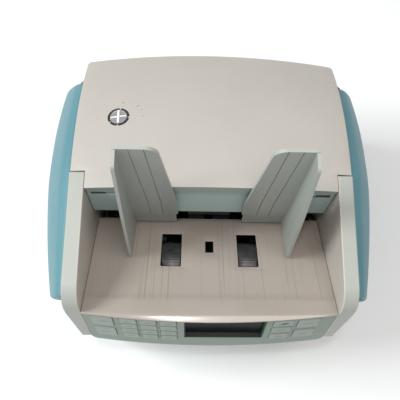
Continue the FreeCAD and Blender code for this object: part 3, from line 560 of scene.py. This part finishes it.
def build_side_panel(side, node):
    """Bulging shell with rounded front and rear ends, open towards the case."""
    turns = [math.radians(15 * k) for k in range(7)]
    corner = [(0.0, TO_CASE)]
    corner += [(PANEL_CORNER * (1 - math.cos(turn)), PANEL_CORNER * (1 - math.sin(turn))) for turn in turns]
    rows = [panel_row(0.0, inward, sideways) for inward, sideways in corner]
    rows += [panel_row(k / PANEL_STATIONS, PANEL_CORNER, 0.0) for k in range(1, PANEL_STATIONS)]
    rows += [panel_row(1.0, inward, sideways) for inward, sideways in reversed(corner)]
    bm = bmesh.new()
    add_grid(bm, [[at(y, z, side * (PANEL_START + x)) for x, y, z in row] for row in rows])
    bmesh.ops.remove_doubles(bm, verts=bm.verts, dist=WELD)
    mesh = finish_bmesh(bm, node + "_skin", 50.0)
    panel = new_object(node + "_skin", mesh, "side_teal", "case")
    add_shell(panel, PANEL_WALL)
    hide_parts(node)


build_side_panel(-1, "side_panel_left")
build_side_panel(1, "side_panel_right")

# --------------------------------------------------------------- feed plate

PLATE_END = (90.7, -61.6)
PLATE_FOLD = (12.4, -8.0)
PLATE_HALF = 101.6
PLATE_LENGTH = 109.3
PLATE_SHEET = 0.7
PLATE_SLOPE = math.atan2(-PLATE_END[1], PLATE_END[0])
LIP_LEVEL = -0.3
BEND_STEPS = 12
# Openings: x from and to, distance down the slope from and to. The rollers' is there on both sides.
ROLLER_OPENING = (24.6, 42.2, 49.3, 88.8)
SENSOR_OPENING = (-3.6, 3.6, 65.8, 80.0)


def plate_section(x):
    """The plate's upper surface at x as (y, z), from the rolled lip over a slow bend to the fold."""
    bow = bow_at(x)
    section = [(0.1 - bow, -0.9), (-bow - 0.05, -0.5), (0.1 - bow, LIP_LEVEL), (-0.7 * bow, LIP_LEVEL)]
    bend = ((-0.35 * bow, LIP_LEVEL), (0.5, -0.32), PLATE_FOLD)
    for k in range(BEND_STEPS + 1):
        t = k / BEND_STEPS
        section.append(tuple(a * (1 - t) ** 2 + b * 2 * t * (1 - t) + c * t ** 2 for a, b, c in zip(*bend)))
    return section


def in_opening(x, s):
    """Whether the plate is open at x and at a distance s down the slope."""
    openings = (ROLLER_OPENING, SENSOR_OPENING)
    return any(x0 < abs(x) < x1 and s0 < s < s1 for x0, x1, s0, s1 in openings)


def build_feed_plate():
    """Plate with a rolled, bowed lip and openings for the pickup rollers and the sensor."""
    half = [14.0, 33.0, 54.0, 66.0, 78.0, 90.0, PLATE_HALF, SENSOR_OPENING[1], *ROLLER_OPENING[:2]]
    columns = sorted([-x for x in half] + half)
    lines = [16.0, 22.0, 32.0, 42.0, 57.0, 72.0, 98.0, 104.0, PLATE_LENGTH]
    lines = sorted(lines + [*ROLLER_OPENING[2:], *SENSOR_OPENING[2:]])
    slope = [(s * math.cos(PLATE_SLOPE), -s * math.sin(PLATE_SLOPE)) for s in lines]
    bm = bmesh.new()
    grid = [[bm.verts.new(at(y, z, x)) for y, z in plate_section(x) + slope] for x in columns]
    first = len(plate_section(0.0))
    for i, (left, right) in enumerate(zip(grid, grid[1:])):
        x = (columns[i] + columns[i + 1]) / 2
        for j in range(len(left) - 1):
            s = (lines[j - first] + lines[j - first + 1]) / 2 if j >= first else 0.0
            if not in_opening(x, s):
                bm.faces.new((left[j], right[j], right[j + 1], left[j + 1]))
    mesh = finish_bmesh(bm, "feed_plate_skin", 30.0)
    plate = new_object("feed_plate_skin", mesh, "plate_grey", BODY_OF["feed_plate"])
    add_shell(plate, PLATE_SHEET)
    add_bevel(plate, 0.2, segments=2, angle=60.0)
    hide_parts("feed_plate")


build_feed_plate()

# ---------------------------------------------------------- pickup rollers

PICKUP = (45.3, -54.3)
ROLLER_RADIUS = 21.0
ROLLER_BORE = 4.0
ROLLER_SPANS = [(-41.9, -24.9), (24.9, 41.9)]
RIBS = 60
RIB_DEPTH = 0.12
# Distance in from a roller's end, distance in from its radius, depth of the ribs there.
SHOULDER = [(0.0, 5.0, 0.0), (0.0, 1.0, RIB_DEPTH), (0.3, 0.3, RIB_DEPTH), (1.0, 0.0, RIB_DEPTH)]


def roller_ring(x, radius, depth=0.0):
    """Points round the rollers' axis, every second pair of them sunk by the depth."""
    ring = []
    for k in range(RIBS * 4):
        angle = 2 * math.pi * k / (RIBS * 4)
        r = radius - (depth if k % 4 >= 2 else 0.0)
        ring.append(at(PICKUP[0] + r * math.cos(angle), PICKUP[1] + r * math.sin(angle), x))
    return ring


def build_pickup_rollers():
    """Rubber rollers with axial ribs and rounded shoulders."""
    bm = bmesh.new()
    for low, high in ROLLER_SPANS:
        rows = [roller_ring(low + step, ROLLER_RADIUS - inset, depth) for step, inset, depth in SHOULDER]
        rows += [roller_ring(high - step, ROLLER_RADIUS - inset, depth)
                 for step, inset, depth in reversed(SHOULDER)]
        bore = roller_ring(low, ROLLER_BORE)
        add_grid(bm, [bore, *rows, roller_ring(high, ROLLER_BORE), bore], closed=True)
    bmesh.ops.remove_doubles(bm, verts=bm.verts, dist=WELD)
    mesh = finish_bmesh(bm, "pickup_rollers_ribbed", 28.0)
    rollers = new_object("pickup_rollers_ribbed", mesh, "rubber", "pickup_roller")
    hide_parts("pickup_rollers")


build_pickup_rollers()

# ------------------------------------------------------------------- knob

KNOB_X = -78.0
KNOB_Y = 159.0
KNOB_NORMAL = Vector((KNOB_X / CROWN_RADIUS, (KNOB_Y - COVER_FRONT) / COVER_RADIUS, 0.0))
KNOB_NORMAL.z = math.sqrt(1 - KNOB_NORMAL.x ** 2 - KNOB_NORMAL.y ** 2)
KNOB_CENTRE = at(KNOB_Y, cover_level(KNOB_Y) - KNOB_X ** 2 / (2 * CROWN_RADIUS), KNOB_X)
KNOB_RIGHT = (Vector((1, 0, 0)) - KNOB_NORMAL * KNOB_NORMAL.x).normalized()
KNOB_AXES = Matrix((KNOB_RIGHT, KNOB_NORMAL.cross(KNOB_RIGHT), KNOB_NORMAL)).transposed()
KNOB_FRAME = Matrix.Translation(KNOB_CENTRE) @ KNOB_AXES.to_4x4()
# (radius, height above the cover) from the foot of the stem to the middle of the dished face.
KNOB_PROFILE = [(0.01, -12.0), (2.5, -12.0), (2.5, -5.0), (9.2, -5.0), (9.2, -3.7), (7.3, -3.7),
                (7.3, 0.3), (7.0, 0.6), (6.6, 0.6), (6.2, 0.2), (0.01, 0.2)]
KNOB_STEPS = 96
# Ribs across the face: name, half width, height of the top, turn in degrees.
KNOB_RIBS = [("knob_rib", 0.85, 1.2, 2.0), ("knob_cross", 0.45, 0.8, 96.0)]
RIB_FOOT = 0.1
RIB_HALF_LENGTH = 6.5
# Section of the gasket as (radius, height), and the middles of its gaps in degrees.
RING_SECTION = [(7.75, -1.2), (7.75, 0.15), (7.9, 0.3), (8.9, 0.3), (9.1, 0.1), (9.1, -0.6)]
RING_GAPS = [-5.0, 83.0, 218.0, 268.0, 355.0]
RING_HALF_GAP = 5.0
RING_STEPS = 24
# Dots of the scale: distance from the axis, turn in degrees, radius.
DOTS = [(11.4, 96.0, 0.35), (11.4, 106.0, 0.35), (11.4, 116.0, 0.35), (19.5, 2.0, 0.9),
        (19.5, 22.0, 0.9), (19.0, 38.0, 0.8), (16.0, 82.0, 0.8), (18.6, 180.0, 0.9)]
DOT_FOOT = -0.45
DOT_THICKNESS = 0.55


def knob_point(radius, angle, height):
    """Point round the knob's axis; the angle is in radians."""
    return KNOB_FRAME @ (Vector((radius * math.cos(angle), radius * math.sin(angle), height)) * MM)


def knob_turned(degrees):
    """The knob's frame turned about its axis."""
    return KNOB_FRAME @ Matrix.Rotation(math.radians(degrees), 4, "Z")


def build_knob_ring():
    """Thin black gasket in the cover round the knob, in four arcs with small gaps between them."""
    bm = bmesh.new()
    for start, end in zip(RING_GAPS, RING_GAPS[1:]):
        rows = []
        for k in range(RING_STEPS + 1):
            degrees = start + RING_HALF_GAP + (end - start - 2 * RING_HALF_GAP) * k / RING_STEPS
            rows.append([knob_point(r, math.radians(degrees), h) for r, h in RING_SECTION])
        add_bar(bm, rows)
    new_object("knob_ring", finish_bmesh(bm, "knob_ring"), "black_plastic", "cover")


def build_knob_marks():
    """Small raised dots of the knob's scale: three by the ring and five further out."""
    bm = bmesh.new()
    for distance, turn, size in DOTS:
        angles = [math.pi * k / 6 for k in range(12)]
        outline = [(distance + size * math.cos(angle), size * math.sin(angle)) for angle in angles]
        add_raised(bm, knob_turned(turn), outline, DOT_FOOT, DOT_THICKNESS)
    new_object("knob_marks", finish_bmesh(bm, "knob_marks"), "cover_grey", "cover", MATERIALS["mark_grey"])


def build_knob():
    """Silver knob: dished disc with a grip rib across it and a fine cross line, both ribs coloured lighter
    than the disc as a painted highlight.
    """
    bm = bmesh.new()
    angles = [2 * math.pi * k / KNOB_STEPS for k in range(KNOB_STEPS)]
    rows = [[knob_point(radius, angle, height) for angle in angles] for radius, height in KNOB_PROFILE]
    add_grid(bm, rows, closed=True)
    disc = new_object("knob_disc", finish_bmesh(bm, "knob_disc", 30.0), "silver", "adjust_knob")
    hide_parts("adjust_knob")
    for name, half_width, top, turn in KNOB_RIBS:
        bm = bmesh.new()
        outline = rectangle(-half_width, -RIB_HALF_LENGTH, half_width, RIB_HALF_LENGTH)
        add_raised(bm, knob_turned(turn), outline, RIB_FOOT, top - RIB_FOOT)
        rib = new_object(name, finish_bmesh(bm, name), "silver", "adjust_knob", MATERIALS["bright_silver"])
        add_bevel(rib, 0.25)


build_knob_ring()
build_knob_marks()
build_knob()

# --------------------------------------------------------------- guide grooves

# Front face of a guide's back plate as (y, z) points from top to bottom, with the kink in the middle.
GUIDE_FACE = [(98.9, 101.6), (88.7, 2.0), (87.1, -29.3)]
KINK_Z = 2.0
GROOVE_LEVELS = [-29.2, KINK_Z, 52.0, 101.4]
# x of a groove's middle below the kink and at its top.
GROOVES = [(51.6, 58.6), (41.0, 48.2)]
# Corners of the tool's section: distance behind the plate's face, distance outwards from the middle.
GROOVE_SECTION = [(-1.0, -0.45), (-1.0, 0.45), (0.8, 0.30), (0.8, -0.30)]


def groove_tool(side):
    """Two thin channels down a guide's back plate, slanting outwards above the kink."""
    bm = bmesh.new()
    for bottom_x, top_x in GROOVES:
        rows = []
        for z in GROOVE_LEVELS:
            share = max(0.0, z - KINK_Z) / (GROOVE_LEVELS[-1] - KINK_Z)
            x = bottom_x + (top_x - bottom_x) * share
            y = along(GUIDE_FACE, z)
            rows.append([at(y + depth, z, side * (x + half)) for depth, half in GROOVE_SECTION])
        add_bar(bm, rows)
    return finish_bmesh(bm, "groove_tool")


for side, guide_name in ((-1, "guide_left_skin"), (1, "guide_right_skin")):
    guide_object = bpy.data.objects[guide_name]
    apply_modifiers(guide_object)
    carve(guide_object, groove_tool(side))
    guide_object.data.set_sharp_from_angle(angle=math.radians(30))
    normals = guide_object.modifiers.new("flat_faces", "WEIGHTED_NORMAL")
    normals.keep_sharp = True

# ------------------------------------------------------------------ key marks

# Key name: x and z of its middle, width
KEYS = {}
for row, key_z in enumerate((-12.5, -37.8)):
    KEYS["key_left_%d" % (row + 1)] = (-86.3, key_z, 17.4)
    KEYS["key_right_%d" % (row + 1)] = (79.8, key_z, 17.4)
for row, key_z in enumerate((-7.8, -19.4, -31.0, -42.6)):
    for column, key_x in enumerate((-65.5, -49.5, -33.5)):
        KEYS["key_number_%d" % (3 * row + column + 1)] = (key_x, key_z, 13.4)
for row, key_z in enumerate((-9.4, -25.2, -41.0)):
    KEYS["key_function_%d" % (row + 1)] = (59.2, key_z, 16.2)
# Half of a dash's length as a share of the key's width, and half of its height.
DASH_SHARE = 0.22
DASH_HALF_HEIGHT = 0.5
POINTER_KEY = "key_function_1"
POINTER = [(-4.5, -2.2), (1.5, -2.2), (4.8, 0.6), (1.5, 3.2), (-1.0, 1.2)]
MARK_FOOT = 0.6
MARK_THICKNESS = 0.26


def panel_frame(x, z, follow_bow=True):
    """Frame on the leaning panel at (x, z), with +Z outwards; follow_bow turns it with the bow's surface."""
    up = Vector((0, math.sin(PANEL_LEAN), math.cos(PANEL_LEAN)))
    out = Vector((0, -math.cos(PANEL_LEAN), math.sin(PANEL_LEAN)))
    rise = bow_at(x) * math.cos(PANEL_LEAN)
    base = at(0, 0, x) + up * (z / math.cos(PANEL_LEAN) * MM) + out * (rise * MM)
    axes = Matrix((Vector((1, 0, 0)), up, out)).transposed().to_4x4()
    yaw = math.atan(2 * LIP_BOW * math.cos(PANEL_LEAN) * x / HOPPER_HALF ** 2) if follow_bow else 0.0
    return Matrix.Translation(base) @ axes @ Matrix.Rotation(yaw, 4, "Y")


def build_key_marks():
    """A plain printed dash on every key but the first function key, which has a green pointer."""
    for key, (x, z, width) in KEYS.items():
        half = width * DASH_SHARE
        dash = rectangle(-half, -DASH_HALF_HEIGHT, half, DASH_HALF_HEIGHT)
        outline, ink = (POINTER, "mark_green") if key == POINTER_KEY else (dash, "mark_ink")
        bm = bmesh.new()
        add_raised(bm, panel_frame(x, z), outline, MARK_FOOT, MARK_THICKNESS)
        mesh = finish_bmesh(bm, key + "_mark")
        new_object(key + "_mark", mesh, SLOT_OF[key], BODY_OF[key], MATERIALS[ink])


build_key_marks()

# ----------------------------------------------------------------- painted slot shadows

# Painted shadow along the top of each guide slot's outer end: a thin black strip just proud of the wall.
SLOT_SHADOW_OUTLINE = rectangle(86.0, 8.7, 98.0, 9.9)
SLOT_SHADOW_Y = 95.3
SLOT_SHADOW_SLANT = 0.139
SLOT_SHADOW_THICKNESS = 0.4


def build_slot_shadows():
    """Painted shadow: thin black strips over the outer ends of the slots that the guides' arms slide in."""
    bm = bmesh.new()
    foot = SLOT_SHADOW_OUTLINE[0][1]
    for side in (-1, 1):
        outline = [at(SLOT_SHADOW_Y + (z - foot) * SLOT_SHADOW_SLANT, z, side * x) for x, z in SLOT_SHADOW_OUTLINE]
        add_slab(bm, outline, (0, -1, 0), SLOT_SHADOW_THICKNESS * MM)
    mesh = finish_bmesh(bm, "slot_seals")
    new_object("slot_seals", mesh, "hopper_green", "cover", MATERIALS["black_plastic"])


build_slot_shadows()

# -------------------------------------------------------------- display recess

DISPLAY_X = 12.4
DISPLAY_Z = -23.25
RECESS_HALF_WIDTH = 32.7
RECESS_HALF_HEIGHT = 20.1
# Painted shade: thin dark sheets lining the display's recess walls.
SHADE_SHEET_WALL = 0.35
SHADE_SHEET_FOOT = -4.9
SHADE_SHEET_HEIGHT = 4.3


def build_display_shade():
    """Painted shade in the display's recess: black sheets on its lower, upper and left walls and a dark
    green sheet on its right wall.
    """
    place = panel_frame(DISPLAY_X, DISPLAY_Z, follow_bow=False)
    right, top = RECESS_HALF_WIDTH, RECESS_HALF_HEIGHT
    shaded_walls = [rectangle(-right, -top, right, SHADE_SHEET_WALL - top),
                  rectangle(-right, top - SHADE_SHEET_WALL, right, top),
                  rectangle(-right, -top, SHADE_SHEET_WALL - right, top)]
    shaded_right_wall = [rectangle(right - SHADE_SHEET_WALL, -top, right, top)]
    for name, outlines, ink in (("display_liner", shaded_walls, "black_plastic"),
                                ("display_guide", shaded_right_wall, "mark_green")):
        bm = bmesh.new()
        for outline in outlines:
            add_raised(bm, place, outline, SHADE_SHEET_FOOT, SHADE_SHEET_HEIGHT)
        new_object(name, finish_bmesh(bm, name), "window_dark", BODY_OF["display_window"], MATERIALS[ink])


build_display_shade()

# ------------------------------------------------- floor, lighting and camera
# Metres and watts here; a place given through at() is in millimetres from the lip.
FLOOR_HALF = 3.0
CAMERA_PLACE = at(-27.39, 444.78, -15.37)
CAMERA_TURNS = {"X": 15.0, "Y": -1.89, "Z": 0.84}


def build_floor():
    corners = [(x, y, 0) for x, y in rectangle(-FLOOR_HALF, -FLOOR_HALF, FLOOR_HALF, FLOOR_HALF)]
    mesh = bpy.data.meshes.new("floor")
    mesh.from_pydata(corners, [], [(0, 1, 2, 3)])
    floor = bpy.data.objects.new("floor", mesh)
    bpy.context.scene.collection.objects.link(floor)
    material, tree, shader, coords = new_material("floor_white")
    cloud = add_noise(tree, coords, scale=3.0, detail=3.0)
    tone = add_ramp(tree, cloud.outputs["Fac"], [(0.3, (0.90, 0.90, 0.90)), (0.7, (0.93, 0.93, 0.93))])
    tree.links.new(tone.outputs["Color"], shader.inputs["Base Color"])
    shader.inputs["Roughness"].default_value = 0.9
    give_material(floor, material)


def area_light(name, place, target, size, power, colour=(1.0, 1.0, 1.0)):
    data = bpy.data.lights.new(name, "AREA")
    data.shape = "RECTANGLE"
    data.size = size
    data.size_y = size
    data.energy = power
    data.color = colour
    light = bpy.data.objects.new(name, data)
    light.location = place
    light.rotation_euler = (Vector(target) - Vector(place)).to_track_quat("-Z", "Y").to_euler()
    bpy.context.scene.collection.objects.link(light)


def build_lights():
    """Even daylight, a cool key from the left, a warm fill from above and a lamp for the lip's gleam."""
    world = bpy.data.worlds.new("studio")
    bpy.context.scene.world = world
    world.use_nodes = True
    background = world.node_tree.nodes["Background"]
    background.inputs["Color"].default_value = (0.97, 0.99, 1.0, 1.0)
    background.inputs["Strength"].default_value = 0.47
    machine = (0.0, 0.0, 0.15)
    area_light("key", (-1.1, 0.1, 1.35), machine, size=0.6, power=19.0, colour=(0.94, 1.0, 0.99))
    area_light("fill", (0.3, 0.0, 1.7), machine, size=0.8, power=7.5, colour=(1.0, 0.94, 0.88))
    area_light("lamp", at(45.0, 890.0, -60.0), at(0.0, 0.0, -30.0), size=0.045, power=1.2)


def build_camera():
    """Looks down from above the front edge, tilted back 15 degrees from plumb."""
    data = bpy.data.cameras.new("camera")
    data.sensor_width = 36.0
    data.lens = 49.86
    data.shift_x = -0.0272
    data.shift_y = 0.0029
    camera = bpy.data.objects.new("camera", data)
    camera.matrix_world = Matrix.Translation(CAMERA_PLACE)
    for axis, degrees in CAMERA_TURNS.items():
        camera.matrix_world = camera.matrix_world @ Matrix.Rotation(math.radians(degrees), 4, axis)
    bpy.context.scene.collection.objects.link(camera)
    bpy.context.scene.camera = camera


build_floor()
build_lights()
build_camera()
bpy.context.scene.view_settings.view_transform = "Standard"
